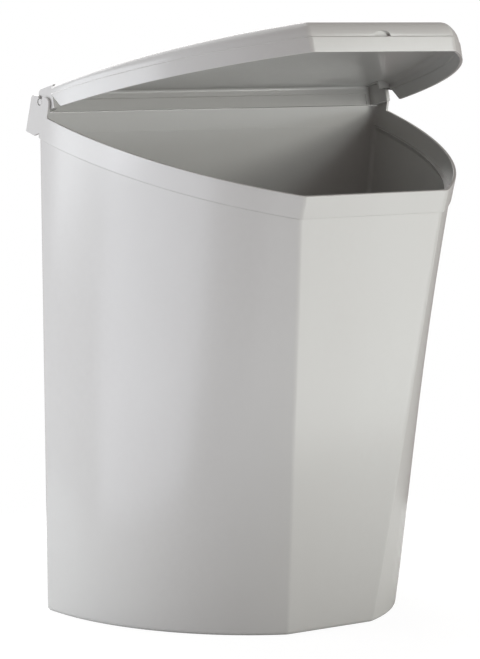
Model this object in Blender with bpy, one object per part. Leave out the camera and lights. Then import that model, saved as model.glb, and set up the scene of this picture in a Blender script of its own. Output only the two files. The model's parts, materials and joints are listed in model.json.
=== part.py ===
# A wedge-fronted plastic waste bin that hangs or stands, with a flap lid hinged at its back.
# X runs along the back wall, -Y is the front facet and +Z is up.
# The origin is the middle of the base's underside. The rim plane slopes down to the front,
# and whatever belongs to it is drawn in the rim frame: u runs back along the slope from the
# top of the back wall, and w rises square to the slope.
import math

import bmesh
import bpy
from mathutils import Matrix, Vector

# Bin body in plan
rim_width = 0.280
rim_depth = 0.165
rim_facet_width = 0.115
rim_flank_lean = math.radians(1.7)
base_width = 0.2405
base_depth = 0.143
base_facet_width = 0.070
base_flank_lean = math.radians(-1.1)
side_length = 0.012
facet_corner_radius = 0.007
back_corner_radius = 0.005
flank_hollow = 0.0024

# Bin body heights, slopes and walls
rear_height = 0.320
rim_slope = math.radians(14.3)
back_lean = 0.012
wall = 0.0020
floor_thickness = 0.0024
base_edge_radius = 0.0025
collar_height = 0.0145
collar_step = 0.0010
collar_back_step = 0.0003

# Lip behind the back wall, which hangs on a rail
lip_reach = 0.0083

# Hinge ears at both ends of the lip
ear_thickness = 0.0018
ear_inset = 0.0002
ear_front = 0.0120
ear_front_height = 0.0128
ear_rear_height = 0.0092
ear_corner_radius = 0.0045
ear_front_lean = 0.0016

# Hinge, in the rim frame
hinge_forward = 0.0010
hinge_height = 0.0075
pin_radius = 0.0020
pin_tip_bevel = 0.0004
slot_neck_width = 0.0036
slot_mouth_width = 0.0072
boss_radius = 0.0031
boss_length = 0.0042

# Lid
lid_wall = 0.0020
lid_front_height = 0.0205
lid_rear_height = 0.0160
lid_band_height = 0.0095
lid_band_step = 0.0006
lid_upper_wall = 0.0022
lid_dome_inset = 0.0085
lid_dome_rear_inset = 0.0030
lid_back = 0.0026
lid_rear_lift = 0.0013
lid_block_inset = 0.0110
lid_block_front = 0.0140
lid_block_drop = 0.0004
cheek_front = 0.0068
skirt_cut_top = 0.0148
skirt_cut_bottom = 0.0225
thumb_width = 0.0140
thumb_height = 0.0034
thumb_depth = 0.0010

# Fits and the photographed pose
gap = 0.0003
cheek_gap = 0.0005
overrun = 0.0040
lid_open = math.radians(29.5)

# How finely round stretches are drawn, and where the wall's rings lie
corner_points = 4
flank_points = 18
dome_rings = 5
round_points = 32
wall_ring_shares = (0.2, 0.4, 0.55, 0.7, 0.85)
hollow_peak_share = (2 / 3) ** 2 / 3

rim_back = base_depth / 2 - back_lean
slope_sin = math.sin(rim_slope)
slope_cos = math.cos(rim_slope)
slope_tan = math.tan(rim_slope)
rim_frame = Matrix.Translation((0, rim_back, rear_height)) @ Matrix.Rotation(rim_slope, 4, "X")
hinge = Vector((0, -hinge_forward, hinge_height))
ear_inner = rim_width / 2 - ear_thickness
cheek_outer = ear_inner - cheek_gap
cheek_inner = cheek_outer - lid_wall


def clear_scene():
    for obj in list(bpy.data.objects):
        bpy.data.objects.remove(obj, do_unlink=True)


def plastic(name, colour, roughness):
    material = bpy.data.materials.new(name)
    material.use_nodes = True
    shader = material.node_tree.nodes["Principled BSDF"]
    shader.inputs["Base Color"].default_value = (*colour, 1)
    shader.inputs["Roughness"].default_value = roughness
    shader.inputs["Metallic"].default_value = 0
    return material


def half_outline(half_width, half_facet, back, side_end, front, lean, hollow):
    # The right half of the plan, from the back wall round the flank to the facet.
    # The flank's arc leaves the side at the angle of lean, and a hollow flattens it.
    points = []
    centre_x = half_width - back_corner_radius
    centre_y = back - back_corner_radius
    for step in range(corner_points + 1):
        angle = math.pi / 2 * (1 - step / corner_points)
        points.append((centre_x + back_corner_radius * math.cos(angle),
                       centre_y + back_corner_radius * math.sin(angle)))
    start = Vector((half_width, side_end))
    corner = Vector((half_facet, front))
    chord = corner - start
    along = chord.normalized()
    outward = Vector((-along.y, along.x))
    rise = chord.length / 2 * math.tan((along.angle(Vector((0, -1))) - lean) / 2) - hollow
    radius = (chord.length ** 2 / 4 + rise ** 2) / (2 * rise)
    reach = math.asin(chord.length / 2 / radius)
    centre = (start + corner) / 2 - outward * (radius - rise)
    end_direction = along * math.cos(reach) - outward * math.sin(reach)
    turn = end_direction.angle(Vector((-1, 0)))
    tangent = facet_corner_radius * math.tan(turn / 2)
    last = 2 * reach - tangent / radius
    for step in range(flank_points + 1):
        angle = last * step / flank_points - reach
        point = centre + (outward * math.cos(angle) + along * math.sin(angle)) * radius
        points.append((point.x, point.y))
    first = Vector(points[-1])
    final = corner - Vector((tangent, 0))
    for step in range(1, corner_points + 1):
        share = step / corner_points
        point = first * (1 - share) ** 2 + corner * 2 * share * (1 - share) + final * share ** 2
        points.append((point.x, point.y))
    return points


def outline(half_width, half_facet, back, side_end, front, lean, hollow=0):
    right = half_outline(half_width, half_facet, back, side_end, front, lean, hollow)
    left = [(-x, y) for x, y in reversed(right)]
    return right + left


def loft(name, rings):
    # One closed skin over rings that all have the same number of points
    mesh_data = bmesh.new()
    rows = [[mesh_data.verts.new(point) for point in ring] for ring in rings]
    for lower, upper in zip(rows, rows[1:]):
        for index in range(len(lower)):
            following = (index + 1) % len(lower)
            mesh_data.faces.new((lower[index], lower[following], upper[following], upper[index]))
    mesh_data.faces.new(list(reversed(rows[0])))
    mesh_data.faces.new(rows[-1])
    return finish_mesh(name, mesh_data)


def prism(name, points, start, end, matrix=Matrix.Identity(4)):
    # An outline in (y, z), drawn out along X from start to end
    mesh_data = bmesh.new()
    rows = [[mesh_data.verts.new((x, y, z)) for y, z in points] for x in (start, end)]
    for index in range(len(points)):
        following = (index + 1) % len(points)
        mesh_data.faces.new((rows[0][index], rows[0][following], rows[1][following], rows[1][index]))
    mesh_data.faces.new(list(reversed(rows[0])))
    mesh_data.faces.new(rows[1])
    bmesh.ops.transform(mesh_data, matrix=matrix, verts=mesh_data.verts)
    return finish_mesh(name, mesh_data)


def finish_mesh(name, mesh_data):
    bmesh.ops.recalc_face_normals(mesh_data, faces=mesh_data.faces)
    mesh = bpy.data.meshes.new(name)
    mesh_data.to_mesh(mesh)
    mesh_data.free()
    obj = bpy.data.objects.new(name, mesh)
    bpy.context.scene.collection.objects.link(obj)
    return obj


def combine(target, tool, operation):
    # Joins the tool to the target, or cuts it out, and uses the tool up
    modifier = target.modifiers.new(operation, "BOOLEAN")
    modifier.operation = operation
    modifier.object = tool
    depsgraph = bpy.context.evaluated_depsgraph_get()
    result = bpy.data.meshes.new_from_object(target.evaluated_get(depsgraph))
    target.modifiers.clear()
    target.data = result
    bpy.data.objects.remove(tool, do_unlink=True)


def smooth(obj, angle=math.radians(30)):
    obj.data.shade_smooth()
    obj.data.set_sharp_from_angle(angle=angle)


def circle(centre_y, centre_z, radius):
    turns = [2 * math.pi * step / round_points for step in range(round_points)]
    return [(centre_y + radius * math.cos(a), centre_z + radius * math.sin(a)) for a in turns]


def rounded_corner(before, corner, after, radius):
    # Points that round one corner of an outline
    towards_before = (Vector(before) - Vector(corner)).normalized()
    towards_after = (Vector(after) - Vector(corner)).normalized()
    tangent = radius / math.tan(towards_before.angle(towards_after) / 2)
    first = Vector(corner) + towards_before * tangent
    final = Vector(corner) + towards_after * tangent
    points = []
    for step in range(corner_points + 1):
        share = step / corner_points
        point = first * (1 - share) ** 2 + Vector(corner) * 2 * share * (1 - share) + final * share ** 2
        points.append((point.x, point.y))
    return points


# Bin body

def collar_ring(height, outset, back_outset):
    # A level of the collar: the flanks and the facet lean with the rim frame,
    # and the back wall keeps its own plane
    drop = -height
    back = rim_back + back_lean * drop * slope_cos / rear_height
    shift = drop * slope_sin
    points = outline(
        rim_width / 2 - collar_step + outset,
        rim_facet_width / 2 - collar_step / 2 + outset / 2,
        back + back_outset,
        rim_back - side_length + shift,
        rim_back - rim_depth + collar_step - outset + shift,
        rim_flank_lean,
    )
    plane = rear_height - drop / slope_cos
    return [(x, y, plane + (y - rim_back) * slope_tan) for x, y in points]


def body_ring(share, inset, lift=0):
    # A level of the tapering tub, from 0 at the base to 1 under the collar
    def between(low, high):
        return low + (high - low) * share
    top_shift = collar_height * slope_sin
    top_back = rim_back + back_lean * collar_height * slope_cos / rear_height
    top_front = rim_back - rim_depth + collar_step + top_shift
    top_side_end = rim_back - side_length + top_shift
    base_back = base_depth / 2
    points = outline(
        between(base_width / 2, rim_width / 2 - collar_step) - inset,
        between(base_facet_width, rim_facet_width - collar_step) / 2 - inset / 3,
        between(base_back, top_back) - inset,
        between(base_back - side_length, top_side_end),
        between(-base_depth / 2, top_front) + inset,
        between(base_flank_lean, rim_flank_lean),
        flank_hollow * share ** 2 * (1 - share) / hollow_peak_share,
    )
    tops = collar_ring(-collar_height, 0, 0)
    return [(x, y, lift + (top[2] - lift) * share) for (x, y), top in zip(points, tops)]


def tub_rings():
    rings = []
    for step in range(corner_points + 1):
        angle = math.pi / 2 * step / corner_points
        inset = base_edge_radius * (1 - math.sin(angle))
        height = base_edge_radius * (1 - math.cos(angle))
        rings.append(body_ring(0, inset, height))
    rings += [body_ring(share, 0) for share in wall_ring_shares]
    rings.append(collar_ring(-collar_height, 0, 0))
    rings.append(collar_ring(-collar_height, collar_step, collar_back_step))
    rings.append(collar_ring(0, collar_step, collar_back_step))
    rings.append(collar_ring(0, collar_step - wall, -wall))
    rings.append(collar_ring(-collar_height, collar_step - wall, -wall))
    rings.append(collar_ring(-collar_height - wall / 2, -wall, -wall))
    rings += [body_ring(share, wall) for share in reversed(wall_ring_shares)]
    for step in reversed(range(corner_points + 1)):
        angle = math.pi / 2 * step / corner_points
        inset = wall + base_edge_radius * (1 - math.sin(angle))
        height = floor_thickness + base_edge_radius * (1 - math.cos(angle))
        rings.append(body_ring(0, inset, height))
    return rings


def ear_outline():
    # The end plate in the rim frame: the ear above the rim, the lip's end below it
    rear_top = (lip_reach, ear_rear_height)
    front_top = (ear_front_lean - ear_front, ear_front_height)
    foot = (-ear_front, -collar_height / 2)
    low = (lip_reach, -collar_height)
    points = [low, *rounded_corner(low, rear_top, front_top, ear_corner_radius / 3)]
    points += rounded_corner(rear_top, front_top, foot, ear_corner_radius)
    points += [foot, (-wall / 2, ear_inset - collar_height)]
    return points


def slot_outline(clearance):
    # A round seat for the pin with a snap-in neck that widens to the ear's top edge
    seat = pin_radius + clearance
    neck_half = slot_neck_width / 2
    neck_rise = math.sqrt(seat ** 2 - neck_half ** 2)
    start = math.asin(neck_rise / seat)
    sweep = math.pi + 2 * start
    points = []
    for step in range(round_points + 1):
        angle = start - sweep * step / round_points
        points.append((hinge.y + seat * math.cos(angle), hinge.z + seat * math.sin(angle)))
    top = ear_front_height + overrun
    spread = slot_mouth_width / 2 - neck_half
    mouth_half = neck_half + spread * (top - hinge.z - neck_rise) / (ear_rear_height - hinge.z)
    points.append((hinge.y - mouth_half, top))
    points.append((hinge.y + mouth_half, top))
    return points


def make_bin_body(material):
    body = loft("bin_body", tub_rings())
    half = rim_width / 2 - wall / 2
    lip_face = lip_reach - ear_inset
    lip_profile = [
        (-wall / 2, -ear_inset), (lip_face, -ear_inset), (lip_face, -collar_height),
        (lip_reach - wall, -collar_height), (lip_reach - wall, -wall), (-wall / 2, -wall),
    ]
    combine(body, prism("lip", lip_profile, -half, half, rim_frame), "UNION")
    for side in (-1, 1):
        plate = prism("ear", ear_outline(), side * ear_inner, side * (rim_width / 2 - ear_inset), rim_frame)
        combine(body, plate, "UNION")
        cutter = prism("slot", slot_outline(gap), side * (ear_inner - overrun),
                       side * (rim_width / 2 + overrun), rim_frame)
        combine(body, cutter, "DIFFERENCE")
    body.data.materials.clear()
    body.data.materials.append(material)
    smooth(body)
    return body


# Lid, in the rim frame

def lid_height(u):
    share = -u * slope_cos / rim_depth
    return lid_rear_height + (lid_front_height - lid_rear_height) * share


def lid_outline(inset, rear_inset):
    return outline(
        rim_width / 2 - inset,
        rim_facet_width / 2 - inset / 3,
        lid_back - rear_inset,
        -side_length / slope_cos,
        -rim_depth / slope_cos + inset,
        rim_flank_lean,
    )


def level_ring(height, inset, rear_inset=0):
    return [(x, u, height) for x, u in lid_outline(inset, rear_inset)]


def dome_ring(step, shell):
    # One level of the rounded shoulder; shell is 0 outside and the wall inside
    angle = math.pi / 2 * step / dome_rings
    inward = 1 - math.cos(angle)
    points = lid_outline(lid_band_step + shell + lid_dome_inset * inward,
                         shell + lid_dome_rear_inset * inward)
    low = lid_band_height + lid_upper_wall
    return [(x, u, low + (lid_height(u) - shell - low) * math.sin(angle)) for x, u in points]


def lid_rings(shell, bottom):
    # The lid's skin, drawn in by the shell's depth
    rings = [level_ring(bottom, shell, shell), level_ring(lid_band_height, shell, shell)]
    rings.append(level_ring(lid_band_height + lid_band_step, lid_band_step + shell, shell))
    rings += [dome_ring(step, shell) for step in range(dome_rings + 1)]
    return rings


def box_outline(low_y, high_y, low_z, high_z):
    return [(low_y, low_z), (high_y, low_z), (high_y, high_z), (low_y, high_z)]


def end_block(side):
    # The flat hinge end of the lid: a cheek, a roof and a rear wall, open below and inwards
    front = -lid_block_front - 2 * lid_block_drop
    rear = lid_back - lid_block_drop
    top = lid_rear_height - lid_block_drop
    inboard = rim_width / 2 - lid_block_inset
    corner = rounded_corner((rear, gap), (rear, top), (front, top), lid_dome_rear_inset)
    block = prism("block", [(front, gap), (rear, gap), *corner, (front, top)],
                  side * (inboard - lid_wall / 2), side * cheek_outer)
    hollow = box_outline(front + lid_wall, rear - lid_wall, -overrun, top - lid_wall)
    inside = prism("inside", hollow, side * (inboard - overrun), side * cheek_inner)
    combine(block, inside, "DIFFERENCE")
    return block


def jog_wall(side):
    # Closes the step between the flush shoulder and the cheek, inside the lid's skins
    slab = box_outline(-lid_block_front - lid_wall, -lid_block_front + lid_wall / 2,
                       lid_band_height / 2, lid_band_height + lid_band_step + lid_upper_wall / 2)
    return prism("jog", slab, side * (cheek_outer - lid_wall / 2), side * (rim_width / 2 - lid_wall / 2))


def make_lid(material):
    lid = loft("lid_shell", lid_rings(0, gap))
    combine(lid, loft("cavity", lid_rings(lid_wall, -overrun)), "DIFFERENCE")
    far = rim_width / 2 + overrun
    inboard = rim_width / 2 - lid_block_inset
    for side in (-1, 1):
        end = box_outline(-lid_block_front, lid_back + overrun, -overrun, lid_front_height)
        combine(lid, prism("end", end, side * inboard, side * far), "DIFFERENCE")
        combine(lid, end_block(side), "UNION")
        combine(lid, jog_wall(side), "UNION")
    under = box_outline(-lid_block_front, lid_back + overrun, -overrun, lid_rear_lift)
    combine(lid, prism("lift", under, -far, far), "DIFFERENCE")
    for side in (-1, 1):
        cut_top = lid_band_height - gap
        skirt = [(-skirt_cut_bottom, 0), (-skirt_cut_top, cut_top),
                 (-cheek_front, cut_top), (-cheek_front, -overrun),
                 (-skirt_cut_bottom, -overrun)]
        combine(lid, prism("skirt_cut", skirt, side * (inboard - overrun), side * far), "DIFFERENCE")
        boss = prism("boss", circle(hinge.y, hinge.z, boss_radius),
                     side * (cheek_inner - boss_length), side * (cheek_inner + lid_wall / 2))
        combine(lid, boss, "UNION")
        bore = prism("bore", circle(hinge.y, hinge.z, pin_radius + gap),
                     side * (cheek_inner - boss_length + lid_wall / 2), side * far)
        combine(lid, bore, "DIFFERENCE")
    thumb_recess(lid)
    lid.data.transform(Matrix.Translation(-hinge))
    lid.data.materials.clear()
    lid.data.materials.append(material)
    smooth(lid)
    return lid


def thumb_recess(lid):
    # A half-moon pressed into the facet just above the step
    front = -rim_depth / slope_cos + lid_band_step
    low = lid_band_height + lid_band_step
    turns = [math.pi * step / round_points for step in range(round_points + 1)]
    face = [(thumb_width / 2 * math.cos(a), low + thumb_height * math.sin(a)) for a in turns]
    mesh_data = bmesh.new()
    depths = (front - overrun, front + thumb_depth)
    rows = [[mesh_data.verts.new((x, u, w)) for x, w in face] for u in depths]
    for index in range(len(face)):
        following = (index + 1) % len(face)
        mesh_data.faces.new((rows[0][index], rows[0][following], rows[1][following], rows[1][index]))
    mesh_data.faces.new(list(reversed(rows[0])))
    mesh_data.faces.new(rows[1])
    combine(lid, finish_mesh("thumb", mesh_data), "DIFFERENCE")


def make_pin(name, side, material):
    # A plain pin, pressed into the lid's blind boss, with its tip in the ear's seat
    root = cheek_inner - boss_length + lid_wall / 2 + gap
    tip = rim_width / 2 - gap
    levels = [(root, pin_radius), (tip - pin_tip_bevel, pin_radius), (tip, pin_radius - pin_tip_bevel)]
    pin = loft(name, [[(side * x, y, z) for y, z in circle(0, 0, radius)] for x, radius in levels])
    pin.data.materials.append(material)
    smooth(pin)
    return pin


def make_hinge_axis():
    axis = bpy.data.objects.new("lid_hinge_axis", None)
    bpy.context.scene.collection.objects.link(axis)
    axis.location = rim_frame @ hinge
    axis.rotation_euler = (rim_slope - lid_open, 0, 0)
    return axis


def main():
    clear_scene()
    body_plastic = plastic("body_plastic", (0.69, 0.69, 0.66), 0.34)
    lid_plastic = plastic("lid_plastic", (0.66, 0.66, 0.63), 0.36)
    pin_plastic = plastic("pin_plastic", (0.60, 0.60, 0.57), 0.40)
    make_bin_body(body_plastic)
    axis = make_hinge_axis()
    moving = [make_lid(lid_plastic)]
    for name, side in (("hinge_pin_left", -1), ("hinge_pin_right", 1)):
        moving.append(make_pin(name, side, pin_plastic))
    for obj in moving:
        obj.parent = axis


main()
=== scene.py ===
import json
import math
from collections import namedtuple

import bmesh
import bpy
from mathutils import Matrix, Vector

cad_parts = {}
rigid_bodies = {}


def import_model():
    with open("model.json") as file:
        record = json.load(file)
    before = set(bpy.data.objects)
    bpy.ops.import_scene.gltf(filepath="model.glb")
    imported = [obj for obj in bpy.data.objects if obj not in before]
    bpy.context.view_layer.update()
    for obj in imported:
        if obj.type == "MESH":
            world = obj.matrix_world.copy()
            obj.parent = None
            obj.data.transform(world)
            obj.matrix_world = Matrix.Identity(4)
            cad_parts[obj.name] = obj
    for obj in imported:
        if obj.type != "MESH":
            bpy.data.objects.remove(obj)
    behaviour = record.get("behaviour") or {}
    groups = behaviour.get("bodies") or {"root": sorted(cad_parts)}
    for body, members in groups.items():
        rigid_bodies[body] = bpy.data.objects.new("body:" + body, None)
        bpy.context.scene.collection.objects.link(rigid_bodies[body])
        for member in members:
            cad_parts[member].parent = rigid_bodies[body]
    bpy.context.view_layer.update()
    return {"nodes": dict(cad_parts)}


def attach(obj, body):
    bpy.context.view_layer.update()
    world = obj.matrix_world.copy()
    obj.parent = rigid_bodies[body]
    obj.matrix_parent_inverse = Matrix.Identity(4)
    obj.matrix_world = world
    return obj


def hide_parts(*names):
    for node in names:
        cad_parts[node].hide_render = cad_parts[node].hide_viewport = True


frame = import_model()

# The rim slopes down to the front. What belongs to it is modelled level, with y running back
# along the slope from the top of the back wall, and is then tipped into place.
rimSlope = math.radians(14.3)
lidOpen = math.radians(29.5)
rimBack = 0.0595
rearHeight = 0.320
rimPlace = Matrix.Translation((0, rimBack, rearHeight)) @ Matrix.Rotation(rimSlope, 4, "X")
hingePoint = Vector((0, -0.0010, 0.0075))
lidPlace = (Matrix.Translation(rimPlace @ hingePoint) @ Matrix.Rotation(rimSlope - lidOpen, 4, "X")
            @ Matrix.Translation(-hingePoint))


# Small helpers

hair = 0.0001  # places closer than this count as one
speck = 0.001  # a plane of this size is merged to a point, where an outline starts
ringSlack = 0.000004  # how far off its plane a ring's vertex may lie
seamWeld = 0.000002  # merges the two halves of an outline
lastWeld = 0.000005  # merges what the cuts leave
overrun = 0.004  # how far a cutter runs past what it cuts
smoothAngle = math.radians(28)


def freshSelection():
    if bpy.context.mode != "OBJECT":
        bpy.ops.object.mode_set(mode="OBJECT")
    bpy.ops.object.select_all(action="DESELECT")


def makeActive(obj):
    freshSelection()
    obj.select_set(True)
    bpy.context.view_layer.objects.active = obj


def editMesh():
    bpy.ops.object.mode_set(mode="EDIT")
    bpy.ops.mesh.select_all(action="DESELECT")


def chooseFaces(test):
    # Selects the faces that pass the test, in edit mode
    mesh = bpy.context.edit_object.data
    bpy.ops.mesh.select_mode(type="FACE")
    shape = bmesh.from_edit_mesh(mesh)
    for face in shape.faces:
        face.select_set(bool(test(face)))
    bmesh.update_edit_mesh(mesh)


def chooseEdges(test):
    mesh = bpy.context.edit_object.data
    bpy.ops.mesh.select_mode(type="EDGE")
    shape = bmesh.from_edit_mesh(mesh)
    for edge in shape.edges:
        edge.select_set(bool(test(edge)))
    bmesh.update_edit_mesh(mesh)


def chooseVerts(test):
    mesh = bpy.context.edit_object.data
    bpy.ops.mesh.select_mode(type="VERT")
    shape = bmesh.from_edit_mesh(mesh)
    for vert in shape.verts:
        vert.select_set(bool(test(vert.co)))
    shape.select_flush_mode()
    bmesh.update_edit_mesh(mesh)


def applyModifier(obj, kind, **settings):
    makeActive(obj)
    modifier = obj.modifiers.new(kind.title(), kind)
    for key, value in settings.items():
        setattr(modifier, key, value)
    bpy.ops.object.modifier_apply(modifier=modifier.name)


def combine(target, tool, operation):
    applyModifier(target, "BOOLEAN", object=tool, operation=operation, solver="EXACT")
    bpy.data.objects.remove(tool, do_unlink=True)


def bakePlace():
    bpy.ops.object.transform_apply(location=True, rotation=True, scale=True)


def place(obj, matrix):
    # Moves the finished piece to its place and leaves that place in its mesh
    makeActive(obj)
    obj.matrix_world = matrix
    bakePlace()


def cleanUp(obj):
    makeActive(obj)
    bpy.ops.object.mode_set(mode="EDIT")
    bpy.ops.mesh.select_all(action="SELECT")
    bpy.ops.mesh.remove_doubles(threshold=lastWeld)
    bpy.ops.mesh.normals_make_consistent(inside=False)
    bpy.ops.object.mode_set(mode="OBJECT")
    bpy.ops.object.shade_smooth_by_angle(angle=smoothAngle)
    applyModifier(obj, "WEIGHTED_NORMAL", keep_sharp=True)


def direction(azimuth, elevation):
    # Points away from the bin, with azimuth 0 in front of it
    return Vector((math.sin(azimuth) * math.cos(elevation), -math.cos(azimuth) * math.cos(elevation),
                   math.sin(elevation)))


# Outlines: half of each ring is drawn level with moves and spins, then tilted and bridged to the last

corners = {"backRadius": 0.005, "facetRadius": 0.007, "backSteps": 7, "flankSteps": 44, "facetSteps": 6}

# The flank leaves the straight side end at its lean and runs to the facet, hollow or not. The height
# is the back's, and the tilt takes the front down from there.
Ring = namedtuple("Ring", "halfWidth halfFacet back sideEnd front lean hollow height tilt")


def startChain(x, y, z):
    bpy.ops.mesh.select_mode(type="VERT")
    bpy.ops.mesh.select_all(action="DESELECT")
    bpy.ops.mesh.primitive_plane_add(size=speck, location=(x, y, z))
    bpy.ops.mesh.merge(type="CENTER")


def lineBy(x, y):
    bpy.ops.mesh.extrude_region_move(TRANSFORM_OT_translate={"value": (x, y, 0)})


def arcRound(x, y, z, angle, steps):
    bpy.ops.mesh.spin(steps=steps, angle=angle, center=(x, y, z), axis=(0, 0, 1))


def drawRing(ring):
    # From the middle of the back, round the back corner, the flank and the facet's corner
    halfWidth, halfFacet, back, sideEnd, front, lean, hollow, height, tilt = ring
    facetAcross = Vector((-1, 0))
    startChain(0, back, height)
    radius = corners["backRadius"]
    lineBy(halfWidth - radius, 0)
    arcRound(halfWidth - radius, back - radius, height, math.pi / 2, corners["backSteps"])
    lineBy(0, sideEnd - back + radius)
    # The flank is one arc, cut short where the facet's corner is rounded
    start = Vector((halfWidth, sideEnd))
    corner = Vector((halfFacet, front))
    chord = corner - start
    along = chord.normalized()
    outward = Vector((-along.y, along.x))
    rise = chord.length / 2 * math.tan((along.angle(Vector((0, -1))) - lean) / 2) - hollow
    bend = (chord.length ** 2 / 4 + rise ** 2) / (2 * rise)
    reach = math.asin(chord.length / 2 / bend)
    centre = (start + corner) / 2 - outward * (bend - rise)
    leaving = along * math.cos(reach) - outward * math.sin(reach)
    tangent = corners["facetRadius"] * math.tan(leaving.angle(facetAcross) / 2)
    sweep = 2 * reach - tangent / bend
    arcRound(centre.x, centre.y, height, sweep, corners["flankSteps"])
    # The corner's arc turns by what is left, and ends on the facet
    turn = sweep - reach
    last = centre + (outward * math.cos(turn) + along * math.sin(turn)) * bend
    heading = along * math.cos(turn) - outward * math.sin(turn)
    remaining = heading.angle(facetAcross)
    small = (last.y - front) / (1 - math.cos(remaining))
    middle = last + Vector((heading.y, -heading.x)) * small
    arcRound(middle.x, middle.y, height, remaining, corners["facetSteps"])
    lineBy(small * math.sin(remaining) - last.x, 0)
    bpy.ops.mesh.select_linked()
    pivot = (0, back, height)
    bpy.ops.transform.resize(value=(1, 1 / math.cos(tilt), 1), center_override=pivot)
    bpy.ops.transform.rotate(value=-tilt, orient_axis="X", center_override=pivot)


def onRing(ring, point):
    rise = (point.z - ring.height) * math.cos(ring.tilt) - (point.y - ring.back) * math.sin(ring.tilt)
    return abs(rise) < ringSlack


def ringShell(name, rings):
    # Skins the half rings in turn and mirrors the half
    freshSelection()
    bpy.ops.mesh.primitive_plane_add(size=speck)
    obj = bpy.context.object
    obj.name = name
    obj.data.name = name
    bpy.ops.object.mode_set(mode="EDIT")
    bpy.ops.mesh.delete(type="VERT")
    drawRing(rings[0])
    for lower, upper in zip(rings, rings[1:]):
        drawRing(upper)
        chooseEdges(lambda edge: len(edge.link_faces) < 2
                    and not all(abs(vert.co.x) < ringSlack for vert in edge.verts)
                    and (all(onRing(lower, vert.co) for vert in edge.verts)
                         or all(onRing(upper, vert.co) for vert in edge.verts)))
        bpy.ops.mesh.bridge_edge_loops()
    bpy.ops.mesh.select_all(action="SELECT")
    bpy.ops.mesh.symmetrize(direction="POSITIVE_X")
    bpy.ops.mesh.select_all(action="SELECT")
    bpy.ops.mesh.remove_doubles(threshold=seamWeld)
    return obj


def closeRing(ring):
    chooseEdges(lambda edge: len(edge.link_faces) == 1
                and all(onRing(ring, vert.co) for vert in edge.verts))
    bpy.ops.mesh.edge_face_add()


def roundRing(ring, width, segments, sharpness):
    # Rounds the edges along a ring that turn by more than the sharpness, in radians
    chooseEdges(lambda edge: len(edge.link_faces) == 2 and edge.calc_face_angle() > sharpness
                and all(onRing(ring, vert.co) for vert in edge.verts))
    bpy.ops.mesh.bevel(offset=width, segments=segments, affect="EDGES")


# Bin body

body = {
    "rimWidth": 0.280, "rimDepth": 0.165, "rimFacet": 0.115, "rimLean": math.radians(1.7),
    "baseWidth": 0.2405, "baseDepth": 0.143, "baseFacet": 0.070, "baseLean": math.radians(-1.1),
    "sideLength": 0.012, "flankHollow": 0.0024, "backLean": 0.012,
    "wall": 0.0020, "baseRadius": 0.0025, "baseSteps": 5,
    "collarHeight": 0.0145, "collarStep": 0.0010, "collarBackStep": 0.0003,
    "grooveHeight": 0.0007, "grooveDepth": 0.0005, "grooveInset": 0.0001,
    "rimRadius": 0.00045, "rimSharpness": 1, "standRing": 0.0065, "standHeight": 0.0009,
    "wallShares": (0.1, 0.2, 0.3, 0.4, 0.5, 0.6, 0.7, 0.8, 0.9),
    "lipReach": 0.0083, "lipRadius": 0.0006, "lipSink": 0.00001,
}


def collarRing(drop, outset, backOutset):
    # The collar's outline at a drop below the rim, square to its slope
    shift = drop * math.sin(rimSlope)
    back = rimBack + body["backLean"] * drop * math.cos(rimSlope) / rearHeight
    level = rearHeight - drop / math.cos(rimSlope) + (back - rimBack) * math.tan(rimSlope)
    return Ring(halfWidth=body["rimWidth"] / 2 - body["collarStep"] + outset,
                halfFacet=body["rimFacet"] / 2 - body["collarStep"] / 2 + outset / 2,
                back=back + backOutset, sideEnd=rimBack - body["sideLength"] + shift,
                front=rimBack - body["rimDepth"] + body["collarStep"] - outset + shift,
                lean=body["rimLean"], hollow=0,
                height=level + backOutset * math.tan(rimSlope), tilt=rimSlope)


def tubRing(share, inset=0, lift=0):
    # The tub's outline, from 0 at the base to 1 under the collar
    top = collarRing(body["collarHeight"], 0, 0)
    halfDepth = body["baseDepth"] / 2
    base = (body["baseWidth"] / 2, body["baseFacet"] / 2, halfDepth, halfDepth - body["sideLength"],
            -halfDepth, body["baseLean"])
    mixed = (low + (high - low) * share for low, high in zip(base, top))
    halfWidth, halfFacet, back, sideEnd, front, lean = mixed
    frontHeight = top.height + (top.front - top.back) * math.tan(rimSlope)
    height = lift + (top.height - lift) * share
    tilt = math.atan((height - lift - (frontHeight - lift) * share) / (back - front))
    hollow = body["flankHollow"] * share ** 2 * (1 - share) * 27 / 4  # deepest two thirds of the way up
    return Ring(halfWidth - inset, halfFacet - inset / 3, back - inset, sideEnd, front + inset,
                lean, hollow, height, tilt)


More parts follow.
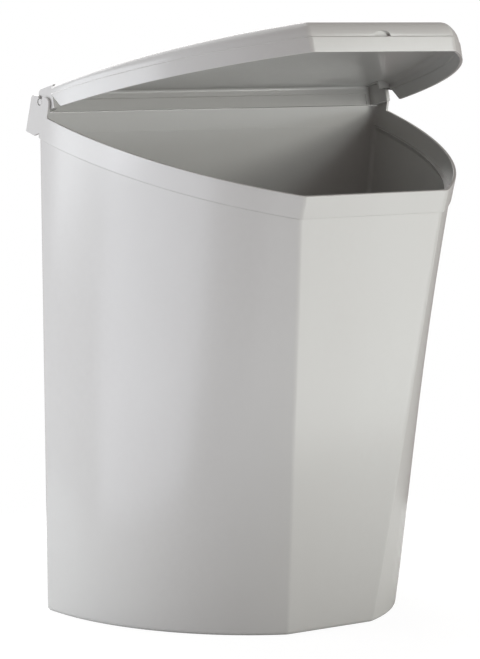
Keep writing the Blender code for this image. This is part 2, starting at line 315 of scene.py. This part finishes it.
def makeTub():
    rings = []
    for step in range(body["baseSteps"] + 1):
        angle = math.pi / 2 * step / body["baseSteps"]
        rings.append(tubRing(0, body["baseRadius"] * (1 - math.sin(angle)),
                             body["baseRadius"] * (1 - math.cos(angle))))
    rings += [tubRing(share) for share in body["wallShares"]]
    rings.append(collarRing(body["collarHeight"] + body["grooveHeight"], -body["grooveInset"], 0))
    rings.append(collarRing(body["collarHeight"], -body["grooveDepth"], 0))
    rings.append(collarRing(body["collarHeight"], body["collarStep"], body["collarBackStep"]))
    rings.append(collarRing(0, body["collarStep"], body["collarBackStep"]))
    tub = ringShell("binBody", rings)
    closeRing(rings[0])
    smallest = body["baseWidth"] * body["baseDepth"] / 4
    chooseFaces(lambda face: abs(face.normal.z) > 0.99 and face.calc_area() > smallest)
    bpy.ops.mesh.inset(thickness=body["standRing"], depth=0)
    bpy.ops.mesh.inset(thickness=body["standHeight"], depth=0)
    bpy.ops.transform.translate(value=(0, 0, body["standHeight"]))
    bpy.ops.mesh.select_all(action="SELECT")
    bpy.ops.mesh.normals_make_consistent(inside=False)
    bpy.ops.object.mode_set(mode="OBJECT")
    applyModifier(tub, "SOLIDIFY", thickness=body["wall"], offset=-1, use_even_offset=True)
    bpy.ops.object.mode_set(mode="EDIT")
    roundRing(rings[-1], body["rimRadius"], 3, body["rimSharpness"])
    roundRing(rings[-2], body["rimRadius"] / 2, 2, body["rimSharpness"])
    bpy.ops.object.mode_set(mode="OBJECT")
    return tub


def makeLip():
    # The shelf behind the rim and the lip that hangs from its end
    wall, reach = body["wall"], body["lipReach"]
    freshSelection()
    bpy.ops.mesh.primitive_cube_add(size=1, scale=(body["rimWidth"] - wall, reach + wall / 2, wall),
                                    location=(0, (reach - wall / 2) / 2, -wall / 2 - body["lipSink"]))
    lip = bpy.context.object
    bakePlace()
    editMesh()
    bpy.ops.mesh.select_all(action="SELECT")
    bpy.ops.mesh.bisect(plane_co=(0, reach - wall, 0), plane_no=(0, 1, 0))
    chooseFaces(lambda face: face.normal.z < -0.9 and face.calc_center_median().y > reach - wall)
    bpy.ops.mesh.extrude_region_move(TRANSFORM_OT_translate={"value": (0, 0, wall - body["collarHeight"])})
    chooseEdges(lambda edge: edge.calc_length() > body["rimWidth"] / 2
                and (all(vert.co.y > reach - hair for vert in edge.verts)
                     or all(vert.co.z < -body["collarHeight"] + hair for vert in edge.verts)))
    bpy.ops.mesh.bevel(offset=body["lipRadius"], segments=3, affect="EDGES")
    bpy.ops.object.mode_set(mode="OBJECT")
    place(lip, rimPlace)
    return lip


ear = {
    "thickness": 0.0018, "front": 0.0120, "frontHeight": 0.0128, "rearHeight": 0.0092, "lean": 0.0016,
    "frontRadius": 0.0045, "rearRadius": 0.0016, "edgeRadius": 0.0003, "flush": 0.00002,
    "seatRadius": 0.0023, "neckWidth": 0.0018, "mouthWidth": 0.0046, "mouthShare": 0.45,
    "seatDepth": 0.0100, "throatDepth": 0.0098,
}


def makeEar(side):
    # An upright plate in the flank's plane, with a snap-in slot for the pin
    reach, low = body["lipReach"], -body["collarHeight"]
    outer = side * (body["rimWidth"] / 2 - ear["flush"])
    freshSelection()
    bpy.ops.mesh.primitive_plane_add(size=1, location=(outer, 0, 0), rotation=(0, math.pi / 2, 0))
    plate = bpy.context.object
    bakePlace()
    # Each corner of the unit plane goes to the plate's own corner, as y and z
    spots = {(-1, -1): (-body["wall"] / 2, low), (1, -1): (reach, low),
             (1, 1): (reach, ear["rearHeight"]), (-1, 1): (ear["lean"] - ear["front"], ear["frontHeight"])}
    editMesh()
    for (y, z), (spotY, spotZ) in spots.items():
        chooseVerts(lambda co: abs(co.y - y / 2) < hair and abs(co.z - z / 2) < hair)
        bpy.ops.transform.translate(value=(0, spotY - y / 2, spotZ - z / 2))
    chooseEdges(lambda edge: all(vert.co.y < 0 for vert in edge.verts))
    bpy.ops.mesh.subdivide(number_cuts=1)
    # The front edge's new middle becomes the foot of its slanted part
    chooseVerts(lambda co: low + hair < co.z < ear["rearHeight"] - hair)
    middleY = (-body["wall"] / 2 + ear["lean"] - ear["front"]) / 2
    middleZ = (low + ear["frontHeight"]) / 2
    bpy.ops.transform.translate(value=(0, -ear["front"] - middleY, low / 2 - middleZ))
    chooseVerts(lambda co: co.y < 0 and co.z > ear["frontHeight"] - hair)
    bpy.ops.mesh.bevel(offset=ear["frontRadius"], segments=6, affect="VERTICES")
    chooseVerts(lambda co: co.y > reach - hair and co.z > 0)
    bpy.ops.mesh.bevel(offset=ear["rearRadius"], segments=4, affect="VERTICES")
    bpy.ops.mesh.select_all(action="SELECT")
    bpy.ops.mesh.extrude_region_move(TRANSFORM_OT_translate={"value": (-side * ear["thickness"], 0, 0)})
    bpy.ops.mesh.select_all(action="SELECT")
    bpy.ops.mesh.normals_make_consistent(inside=False)
    bpy.ops.object.mode_set(mode="OBJECT")
    combine(plate, makeSlot(outer), "DIFFERENCE")
    applyModifier(plate, "BEVEL", width=ear["edgeRadius"], segments=2, limit_method="ANGLE",
                  angle_limit=math.radians(50))
    place(plate, rimPlace)
    return plate


def makeSlot(x):
    # A round seat with a snap-in neck that widens to the ear's top
    seat, neck = ear["seatRadius"], ear["neckWidth"] / 2
    top = ear["frontHeight"] + overrun / 2
    freshSelection()
    bpy.ops.mesh.primitive_cylinder_add(vertices=40, radius=seat, depth=ear["seatDepth"],
                                        location=(x, hingePoint.y, hingePoint.z),
                                        rotation=(0, math.pi / 2, 0))
    slot = bpy.context.object
    bakePlace()
    freshSelection()
    bpy.ops.mesh.primitive_cube_add(size=1, location=(x, hingePoint.y, (hingePoint.z + top) / 2),
                                    scale=(ear["throatDepth"], neck * 2, top - hingePoint.z))
    throat = bpy.context.object
    bakePlace()
    editMesh()
    chooseVerts(lambda co: co.z > top - hair)
    rise = (top - hingePoint.z) / (ear["rearHeight"] - hingePoint.z) * ear["mouthShare"]
    spread = 1 + (ear["mouthWidth"] / 2 - neck) * rise / neck
    bpy.ops.transform.resize(value=(1, spread, 1), center_override=(x, hingePoint.y, top))
    bpy.ops.object.mode_set(mode="OBJECT")
    combine(slot, throat, "UNION")
    return slot


def makeBody():
    tub = makeTub()
    combine(tub, makeLip(), "UNION")
    for side in (-1, 1):
        combine(tub, makeEar(side), "UNION")
    cleanUp(tub)
    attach(tub, "bin")
    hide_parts("bin_body")
    print("bin body made")
    return tub


# Lid, modelled closed on the level rim and then swung to where the photo shows it

lid = {
    "wall": 0.0020, "back": 0.0026, "bottom": 0.0003, "rearLift": 0.0013,
    "rearHeight": 0.0160, "frontHeight": 0.0205, "bandHeight": 0.0095, "bandStep": 0.0006,
    "upperWall": 0.0022, "domeInset": 0.0085, "domeRearInset": 0.0030, "domeSteps": 9,
    "edgeRadius": 0.00045, "stepRadius": 0.0002,
    "blockInset": 0.0110, "blockFront": 0.0140, "blockDrop": 0.0004, "blockRadius": 0.0030,
    "cheek": 0.1377, "cheekFront": 0.0126, "cutTop": 0.0148, "cutBottom": 0.0225, "cutOverrun": 0.003,
    "padLength": 0.0042, "padStraight": 0.0045, "boreRadius": 0.0023, "edgeSharpness": 0.6,
    "markWidth": 0.0140, "markHeight": 0.0040, "markDepth": 0.0017, "markFloorShares": (0.93, 0.88),
}


def lidRing(inset, rearInset, height, tilt=0):
    return Ring(halfWidth=body["rimWidth"] / 2 - inset, halfFacet=body["rimFacet"] / 2 - inset / 3,
                back=lid["back"] - rearInset, sideEnd=-body["sideLength"] / math.cos(rimSlope),
                front=inset - body["rimDepth"] / math.cos(rimSlope),
                lean=body["rimLean"], hollow=0, height=height, tilt=tilt)


def lidSkin():
    # A band, a small step and a dome that is higher at the front
    step, low = lid["bandStep"], lid["bandHeight"] + lid["upperWall"]
    rings = [lidRing(0, 0, lid["bottom"]), lidRing(0, 0, lid["bandHeight"]),
             lidRing(step, step, lid["bandHeight"] + step)]
    fall = (lid["rearHeight"] - lid["frontHeight"]) * math.cos(rimSlope) / body["rimDepth"]
    for index in range(lid["domeSteps"] + 1):
        angle = math.pi / 2 * index / lid["domeSteps"]
        inward, upward = 1 - math.cos(angle), math.sin(angle)
        rearInset = step + lid["domeRearInset"] * inward
        top = lid["rearHeight"] + fall * (lid["back"] - rearInset)
        rings.append(lidRing(step + lid["domeInset"] * inward, rearInset,
                             low + (top - low) * upward, math.atan(fall * upward)))
    skin = ringShell("lidShell", rings)
    closeRing(rings[-1])
    bpy.ops.mesh.select_all(action="SELECT")
    bpy.ops.mesh.normals_make_consistent(inside=False)
    bpy.ops.object.mode_set(mode="OBJECT")
    applyModifier(skin, "SOLIDIFY", thickness=lid["wall"], offset=-1, use_even_offset=True)
    bpy.ops.object.mode_set(mode="EDIT")
    roundRing(rings[0], lid["edgeRadius"], 3, lid["edgeSharpness"])
    roundRing(rings[1], lid["stepRadius"], 2, lid["edgeSharpness"])
    bpy.ops.object.mode_set(mode="OBJECT")
    return skin


def block(lowCorner, highCorner):
    # A block to cut or join with, between two corners
    low, high = Vector(lowCorner), Vector(highCorner)
    freshSelection()
    bpy.ops.mesh.primitive_cube_add(size=1, location=(low + high) / 2, scale=high - low)
    obj = bpy.context.object
    bakePlace()
    return obj


def acrossBlock(side, near, far, lowY, highY, lowZ, highZ):
    ends = sorted((side * near, side * far))
    return block((ends[0], lowY, lowZ), (ends[1], highY, highZ))


def hingeEnd(side):
    # The lid's flat end: a cheek inside the ear, with a roof and a rear wall
    wall, inboard = lid["wall"], body["rimWidth"] / 2 - lid["blockInset"]
    front, rear = -lid["blockFront"] - 2 * lid["blockDrop"], lid["back"] - lid["blockDrop"]
    top = lid["rearHeight"] - lid["blockDrop"]
    end = acrossBlock(side, inboard - wall / 2, lid["cheek"], front, rear, lid["bottom"], top)
    editMesh()
    chooseEdges(lambda edge: all(vert.co.y > rear - hair and vert.co.z > top - hair for vert in edge.verts))
    bpy.ops.mesh.bevel(offset=lid["blockRadius"], segments=6, affect="EDGES")
    chooseEdges(lambda edge: all(abs(vert.co.x) > lid["cheek"] - hair for vert in edge.verts)
                and all(vert.co.z > lid["bottom"] + hair for vert in edge.verts))
    bpy.ops.mesh.bevel(offset=lid["edgeRadius"], segments=2, affect="EDGES")
    bpy.ops.object.mode_set(mode="OBJECT")
    inside = acrossBlock(side, inboard - 2 * wall, lid["cheek"] - wall,
                         front + wall, rear - wall, -2 * wall, top - wall)
    combine(end, inside, "DIFFERENCE")
    return end


def skirtCut(side):
    # The slanted notch in the skirt, in front of the cheek
    top, past, half = lid["bandHeight"] - lid["bottom"], lid["cutOverrun"], body["rimWidth"] / 2
    cut = acrossBlock(side, half - lid["blockInset"] - past, half + past,
                      -lid["cutTop"], -lid["cheekFront"], -past, top)
    editMesh()
    chooseVerts(lambda co: co.y < -lid["cutTop"] + hair and co.z < 0)
    slant = (lid["cutBottom"] - lid["cutTop"]) / top
    bpy.ops.transform.translate(value=(0, lid["cutTop"] - lid["cutBottom"] - past * slant, 0))
    bpy.ops.object.mode_set(mode="OBJECT")
    return cut


def pinPad(side):
    # The thick corner that the pin is pressed into, slanted off to the front
    wall, drop = lid["wall"], lid["blockDrop"]
    inner = lid["cheek"] - wall - lid["padLength"]
    pad = acrossBlock(side, inner, lid["cheek"] - wall / 2, -lid["blockFront"] - drop,
                      lid["back"] - drop - wall / 2, lid["rearLift"] - 2 * hair,
                      lid["rearHeight"] - drop - wall / 2)
    editMesh()
    bpy.ops.mesh.select_all(action="SELECT")
    bpy.ops.mesh.bisect(plane_co=(0, -lid["padStraight"], 0), plane_no=(0, 1, 0))
    chooseVerts(lambda co: co.y < -lid["padStraight"] - hair and abs(co.x) < inner + hair)
    bpy.ops.transform.translate(value=(side * lid["padLength"], 0, 0))
    bpy.ops.object.mode_set(mode="OBJECT")
    return pad


def pinBore(side):
    # The blind bore that the pin sits in
    near = side * (lid["cheek"] - lid["wall"] - lid["padLength"] + lid["wall"] / 2)
    far = side * (body["rimWidth"] / 2 + overrun)
    freshSelection()
    bpy.ops.mesh.primitive_cylinder_add(vertices=40, radius=lid["boreRadius"], depth=abs(far - near),
                                        location=((near + far) / 2, hingePoint.y, hingePoint.z),
                                        rotation=(0, math.pi / 2, 0))
    bakePlace()
    return bpy.context.object


def fingerMark():
    # A half-moon that is pressed into the facet just above the step
    low = lid["bandHeight"] + lid["bandStep"]
    front = lid["bandStep"] - body["rimDepth"] / math.cos(rimSlope)
    widthShare, heightShare = lid["markFloorShares"]
    freshSelection()
    bpy.ops.mesh.primitive_cylinder_add(vertices=64, radius=lid["markWidth"] / 2, depth=overrun,
                                        location=(0, front + lid["markDepth"] - overrun / 2, low),
                                        rotation=(math.pi / 2, 0, 0))
    mark = bpy.context.object
    bakePlace()
    editMesh()
    bpy.ops.mesh.select_all(action="SELECT")
    bpy.ops.mesh.bisect(plane_co=(0, 0, low), plane_no=(0, 0, 1), clear_inner=True, use_fill=True)
    bpy.ops.mesh.select_all(action="SELECT")
    squash = lid["markHeight"] / lid["markWidth"] * 2
    bpy.ops.transform.resize(value=(1, 1, squash), center_override=(0, 0, low))
    chooseVerts(lambda co: co.y > front)
    bpy.ops.transform.resize(value=(widthShare, 1, heightShare), center_override=(0, 0, low))
    bpy.ops.object.mode_set(mode="OBJECT")
    return mark


def cornerCut(side):
    # What the flat hinge end takes the place of
    half = body["rimWidth"] / 2
    return acrossBlock(side, half - lid["blockInset"], half + overrun, -lid["blockFront"],
                       lid["back"] + overrun, -overrun, lid["frontHeight"])


def skirtEnd(side):
    # Closes the skirt against the cheek
    wall, front = lid["wall"], -lid["blockFront"]
    return acrossBlock(side, lid["cheek"] - wall / 2, body["rimWidth"] / 2 - wall / 2, front - wall,
                       front + wall / 2, lid["bandHeight"] / 2,
                       lid["bandHeight"] + lid["bandStep"] + lid["upperWall"] / 2)


def rearCut():
    # Lifts the rear wall clear of the shelf behind the rim
    half = body["rimWidth"] / 2
    return block((-half - overrun, -lid["blockFront"], -overrun),
                 (half + overrun, lid["back"] + overrun, lid["rearLift"]))


def makeLid():
    shell = lidSkin()
    for side in (-1, 1):
        combine(shell, cornerCut(side), "DIFFERENCE")
        combine(shell, hingeEnd(side), "UNION")
        combine(shell, skirtEnd(side), "UNION")
        combine(shell, pinPad(side), "UNION")
    combine(shell, rearCut(), "DIFFERENCE")
    for side in (-1, 1):
        combine(shell, skirtCut(side), "DIFFERENCE")
        combine(shell, pinBore(side), "DIFFERENCE")
    combine(shell, fingerMark(), "DIFFERENCE")
    cleanUp(shell)
    place(shell, lidPlace)
    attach(shell, "lid")
    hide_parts("lid_shell")
    print("lid made")
    return shell


# Shader maths: a wrapped socket adds, subtracts and multiplies as a number does

class Wire:
    def __init__(self, recipe, socket):
        self.recipe, self.socket = recipe, socket

    def maths(self, operation, first, second):
        return self.recipe.node("ShaderNodeMath", {"operation": operation}, {0: first, 1: second})

    def __add__(self, other):
        return self.maths("ADD", self, other)

    def __sub__(self, other):
        return self.maths("SUBTRACT", self, other)

    def __rsub__(self, other):
        return self.maths("SUBTRACT", other, self)

    def __mul__(self, other):
        return self.maths("MULTIPLY", self, other)

    __radd__, __rmul__ = __add__, __mul__


class Recipe:
    # The nodes of one material or world
    def __init__(self, owner):
        owner.use_nodes = True
        self.tree = owner.node_tree

    def node(self, kind, settings, values, output=0):
        made = self.tree.nodes.new(kind)
        for key, value in settings.items():
            setattr(made, key, value)
        self.feed(made, values)
        return Wire(self, made.outputs[output])

    def feed(self, made, values):
        for key, value in values.items():
            if isinstance(value, Wire):
                self.tree.links.new(value.socket, made.inputs[key])
            else:
                made.inputs[key].default_value = value

    def spot(self, stretch=(1, 1, 1)):
        place = self.node("ShaderNodeTexCoord", {}, {}, "Object")
        return self.node("ShaderNodeMapping", {}, {"Vector": place, "Scale": stretch})

    def noise(self, scale, detail, roughness=0.5, stretch=(1, 1, 1)):
        return self.node("ShaderNodeTexNoise", {"noise_dimensions": "3D"}, {
            "Vector": self.spot(stretch), "Scale": scale, "Detail": detail, "Roughness": roughness})

    def between(self, value, low, high):
        return self.node("ShaderNodeMapRange", {"interpolation_type": "SMOOTHSTEP"},
                         {"Value": value, "From Min": low, "From Max": high})

    def mix(self, share, first, second):
        return self.node("ShaderNodeMix", {"data_type": "RGBA"}, {0: share, 6: first, 7: second}, 2)


# Plastics

mouldedGrey = {
    "colour": (0.588, 0.586, 0.568, 1), "paler": (0.604, 0.606, 0.590, 1), "deeper": (0.564, 0.558, 0.540, 1),
    "roughness": 0.20, "roughnessSpread": 0.04, "ior": 1.49,
    "flowScale": 7, "waveScale": 26, "waveHeight": 0.00006,
    "mottleScale": 240, "grainScale": 1500, "grainHeight": 0.000012,
    "evenShare": 0.30, "mottleShare": 0.35,
    "scuffScale": 60, "scuffStretch": (7, 7, 0.5), "scuffPatch": 11,
    "scuffRoughness": 0.08, "scuffShare": 0.25,
}


def mouldedPlastic(name, look, flowStretch):
    # Satin moulded plastic: slow flow shades, fine mottling, a spark-eroded grain and faint scuffs
    material = bpy.data.materials.new(name)
    plastic = Recipe(material)
    flow = plastic.noise(look["flowScale"], 4, 0.55, flowStretch)
    mottle = plastic.noise(look["mottleScale"], 3)
    grain = plastic.noise(look["grainScale"], 2, 0.6)
    wave = plastic.noise(look["waveScale"], 1, 0.4, flowStretch)
    scuffLines = plastic.noise(look["scuffScale"], 5, 0.7, look["scuffStretch"])
    scuffPatch = plastic.between(plastic.noise(look["scuffPatch"], 2), 0.52, 0.68)
    scuffs = plastic.between(scuffLines, 0.60, 0.74) * scuffPatch
    colour = plastic.mix(plastic.between(flow, 0.30, 0.70), look["deeper"], look["paler"])
    evening = plastic.between(mottle, 0.25, 0.75) * look["mottleShare"] + look["evenShare"]
    colour = plastic.mix(evening, colour, look["colour"])
    colour = plastic.mix(scuffs * look["scuffShare"], colour, look["paler"])
    roughness = (mottle - 0.5) * look["roughnessSpread"] + scuffs * look["scuffRoughness"] + look["roughness"]
    bump = plastic.node("ShaderNodeBump", {}, {
        "Height": grain * look["grainHeight"] + wave * look["waveHeight"], "Distance": 1, "Strength": 1})
    plastic.feed(plastic.tree.nodes["Principled BSDF"], {
        "Base Color": colour, "Roughness": roughness, "Normal": bump, "IOR": look["ior"]})
    return material


def dress(obj, material):
    obj.data.materials.clear()
    obj.data.materials.append(material)


def dressAll(binBody, lidShell):
    dress(binBody, mouldedPlastic("bodyPlastic", mouldedGrey, (1, 1, 0.4)))
    dress(lidShell, mouldedPlastic("lidPlastic", {**mouldedGrey, "roughness": 0.22}, (0.6, 1, 1)))
    pinPlastic = mouldedPlastic("pinPlastic", {**mouldedGrey, "flowScale": 90, "roughness": 0.42}, (1, 1, 1))
    for pin in ("hinge_pin_left", "hinge_pin_right"):
        for slot in frame["nodes"][pin].material_slots:
            slot.material = pinPlastic
    print("plastics mixed")


# Camera

photo = {
    "azimuth": math.radians(-38.404), "elevation": math.radians(7.307), "roll": math.radians(1.247),
    "lens": 168.16, "sensor": 36, "aim": (-0.038116, -0.0205, 0.186787), "distance": 1.934392,
}


def makeCamera():
    azimuth, roll = photo["azimuth"], photo["roll"]
    back = direction(azimuth, photo["elevation"])
    level = Vector((math.cos(azimuth), math.sin(azimuth), 0))
    upright = back.cross(level)
    right = level * math.cos(roll) + upright * math.sin(roll)
    up = upright * math.cos(roll) - level * math.sin(roll)
    data = bpy.data.cameras.new("photoCamera")
    data.lens = photo["lens"]
    data.sensor_width = photo["sensor"]
    camera = bpy.data.objects.new("photoCamera", data)
    bpy.context.scene.collection.objects.link(camera)
    turned = Matrix((right, up, back)).transposed().to_4x4()
    camera.matrix_world = Matrix.Translation(Vector(photo["aim"]) + back * photo["distance"]) @ turned
    bpy.context.scene.camera = camera
    print("camera placed")


# Studio: a pale floor and soft lamps

lamps = {
    "leftKey": {"azimuth": -113, "elevation": 10, "size": (0.95, 0.75), "power": 8.9,
                "tint": (0.96, 1.0, 1.04)},
    "leftSoft": {"azimuth": -90, "elevation": -14, "size": (0.90, 0.75), "power": 4.0,
                 "tint": (0.97, 1.0, 1.09)},
    "frontLow": {"azimuth": -24, "elevation": -18, "size": (1.00, 0.45), "power": 1.5,
                 "tint": (0.97, 1.01, 1.01)},
    "rightSoft": {"azimuth": 28, "elevation": -8, "size": (1.00, 0.80), "power": 5.8,
                  "tint": (0.97, 1.01, 1.0)},
    "rightHigh": {"azimuth": 34, "elevation": 14, "size": (0.90, 0.60), "power": 0.9,
                  "tint": (0.98, 1.01, 1.01)},
    "rightStrip": {"azimuth": 38, "elevation": 22, "size": (0.30, 0.25), "power": 1.8,
                   "tint": (0.97, 1.01, 0.98)},
    "rightSmall": {"azimuth": 48, "elevation": 12, "size": (0.20, 0.20), "power": 2.8,
                   "tint": (1.0, 0.99, 0.94)},
    "overhead": {"azimuth": 180, "elevation": 70, "size": (0.90, 0.90), "power": 4.2,
                 "tint": (0.97, 1.0, 1.0)},
    "rear": {"azimuth": 170, "elevation": 30, "size": (1.20, 0.80), "power": 8.0,
             "tint": (1.0, 1.0, 1.0)},
}
studio = {
    "middle": (0, -0.02, 0.19), "distance": 1.2,
    "ambient": 0.20, "ambientTint": (1.0, 0.84, 0.83, 1), "white": (1, 1, 1, 1), "whiteGlow": 1,
    "floorSize": 0.7, "floorTone": (0.64, 0.64, 0.64, 1), "floorFleck": (0.6592, 0.6592, 0.64, 1),
    "floorFibre": 90, "floorRoughness": 0.9, "floorGlow": 1.15,
    "floorWhite": 0.8, "shadowReach": 0.14, "whiteFrom": 0.34,
}


def makeLamp(name, lamp):
    away = direction(math.radians(lamp["azimuth"]), math.radians(lamp["elevation"]))
    data = bpy.data.lights.new(name, "AREA")
    data.shape = "RECTANGLE"
    data.size, data.size_y = lamp["size"]
    data.energy = lamp["power"]
    data.color = lamp["tint"]
    obj = bpy.data.objects.new(name, data)
    bpy.context.scene.collection.objects.link(obj)
    obj.location = Vector(studio["middle"]) + away * studio["distance"]
    obj.rotation_mode = "QUATERNION"
    obj.rotation_quaternion = away.to_track_quat("Z", "Y")


def makeFloor():
    # The camera sees the card as white, but for the bin's shadow close to it
    freshSelection()
    bpy.ops.mesh.primitive_plane_add(size=studio["floorSize"], location=(0, 0, 0))
    floor = bpy.context.object
    floor.name = "studioFloor"
    material = bpy.data.materials.new("floorCard")
    card = Recipe(material)
    paper = card.tree.nodes["Principled BSDF"]
    fibre = card.noise(studio["floorFibre"], 3)
    card.feed(paper, {"Base Color": card.mix(fibre, studio["floorTone"], studio["floorFleck"]),
                      "Roughness": studio["floorRoughness"]})
    away = card.node("ShaderNodeVectorMath", {"operation": "LENGTH"}, {0: card.spot()}, "Value")
    far = card.between(away, studio["shadowReach"], studio["whiteFrom"])
    seen = card.node("ShaderNodeLightPath", {}, {}, "Is Camera Ray")
    share = seen * (far * (1 - studio["floorWhite"]) + studio["floorWhite"])
    glow = card.node("ShaderNodeEmission", {}, {"Color": studio["white"], "Strength": studio["floorGlow"]})
    surface = card.node("ShaderNodeMixShader", {}, {0: share, 1: Wire(card, paper.outputs[0]), 2: glow})
    card.feed(card.tree.nodes["Material Output"], {"Surface": surface})
    dress(floor, material)


def makeWorld():
    # White for the camera alone, and a dim warm light for the rest
    world = bpy.data.worlds.new("studio")
    air = Recipe(world)
    bpy.context.scene.world = world
    seen = air.node("ShaderNodeLightPath", {}, {}, "Is Camera Ray")
    soft = air.tree.nodes["Background"]
    air.feed(soft, {"Color": studio["ambientTint"], "Strength": studio["ambient"]})
    white = air.node("ShaderNodeBackground", {}, {"Color": studio["white"], "Strength": studio["whiteGlow"]})
    surface = air.node("ShaderNodeMixShader", {}, {0: seen, 1: Wire(air, soft.outputs[0]), 2: white})
    air.feed(air.tree.nodes["World Output"], {"Surface": surface})


def makeStudio():
    for name, lamp in lamps.items():
        makeLamp(name, lamp)
    makeFloor()
    makeWorld()
    bpy.context.scene.view_settings.view_transform = "Standard"
    print("studio set")


dressAll(makeBody(), makeLid())
makeCamera()
makeStudio()
